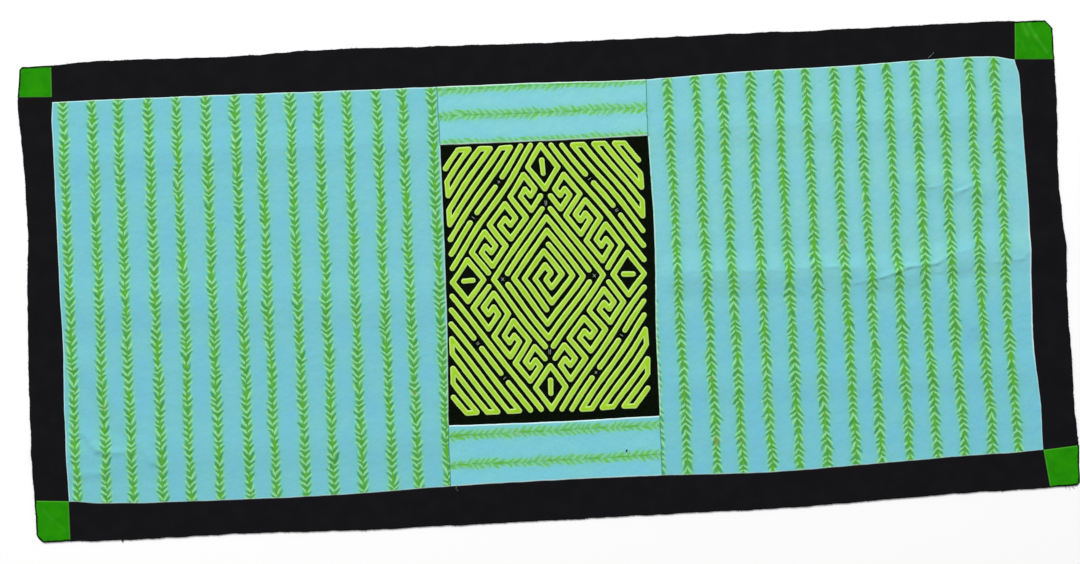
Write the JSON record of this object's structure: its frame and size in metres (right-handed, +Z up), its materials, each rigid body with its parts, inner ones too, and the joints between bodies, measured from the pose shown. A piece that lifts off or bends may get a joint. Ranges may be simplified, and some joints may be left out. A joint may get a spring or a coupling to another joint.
{
  "type": "mola panel",
  "caption": "Flat patchwork cloth panel with a reverse-applique mola at its centre, printed side panels, a black border and green corner squares.",
  "frame": {"origin": "middle of the panel, on the surface that it lies on", "axes": "+X along the panel's length, +Y across it towards the top of the mola, +Z up out of the cloth's face"},
  "size_m": [1.0224, 0.4706, 0.0039],
  "materials": {
    "print": "turquoise cotton printed with green leafy stripes",
    "border": "plain black cotton",
    "corner": "plain green cotton",
    "mola_black": "black cotton ground of the mola",
    "mola_lime": "lime cotton with turned and sewn edges"
  },
  "bodies": {
    "root": {"border_bottom": "border", "border_left": "border", "border_right": "border", "border_top": "border", "corner_bottom_left": "corner", "corner_bottom_right": "corner", "corner_top_left": "corner", "corner_top_right": "corner", "infill_above_mola": "print", "infill_below_mola": "print", "lime_corner_north_east": "mola_lime", "lime_corner_north_west": "mola_lime", "lime_corner_south_east": "mola_lime", "lime_corner_south_west": "mola_lime", "lime_dash_left_north_east": "mola_lime", "lime_dash_left_north_west": "mola_lime", "lime_dash_left_south_east": "mola_lime", "lime_dash_left_south_west": "mola_lime", "lime_dash_middle_north_east": "mola_lime", "lime_dash_middle_north_west": "mola_lime", "lime_dash_middle_south_east": "mola_lime", "lime_dash_middle_south_west": "mola_lime", "lime_dash_right_north_east": "mola_lime", "lime_dash_right_north_west": "mola_lime", "lime_dash_right_south_east": "mola_lime", "lime_dash_right_south_west": "mola_lime", "lime_heart_middle": "mola_lime", "lime_heart_ring_middle": "mola_lime", "lime_key_north_east": "mola_lime", "lime_key_north_west": "mola_lime", "lime_key_south_east": "mola_lime", "lime_key_south_west": "mola_lime", "lime_long_bar_north_east": "mola_lime", "lime_long_bar_north_west": "mola_lime", "lime_long_bar_south_east": "mola_lime", "lime_long_bar_south_west": "mola_lime", "lime_point_dot_bottom": "mola_lime", "lime_point_dot_left": "mola_lime", "lime_point_dot_right": "mola_lime", "lime_point_dot_top": "mola_lime", "lime_point_ring_bottom": "mola_lime", "lime_point_ring_left": "mola_lime", "lime_point_ring_right": "mola_lime", "lime_point_ring_top": "mola_lime", "lime_side_ring_one": "mola_lime", "lime_side_ring_two": "mola_lime", "lime_upper_ring_one": "mola_lime", "lime_upper_ring_two": "mola_lime", "mola_ground": "mola_black", "side_panel_left": "print", "side_panel_right": "print"}
  },
  "joints": []
}
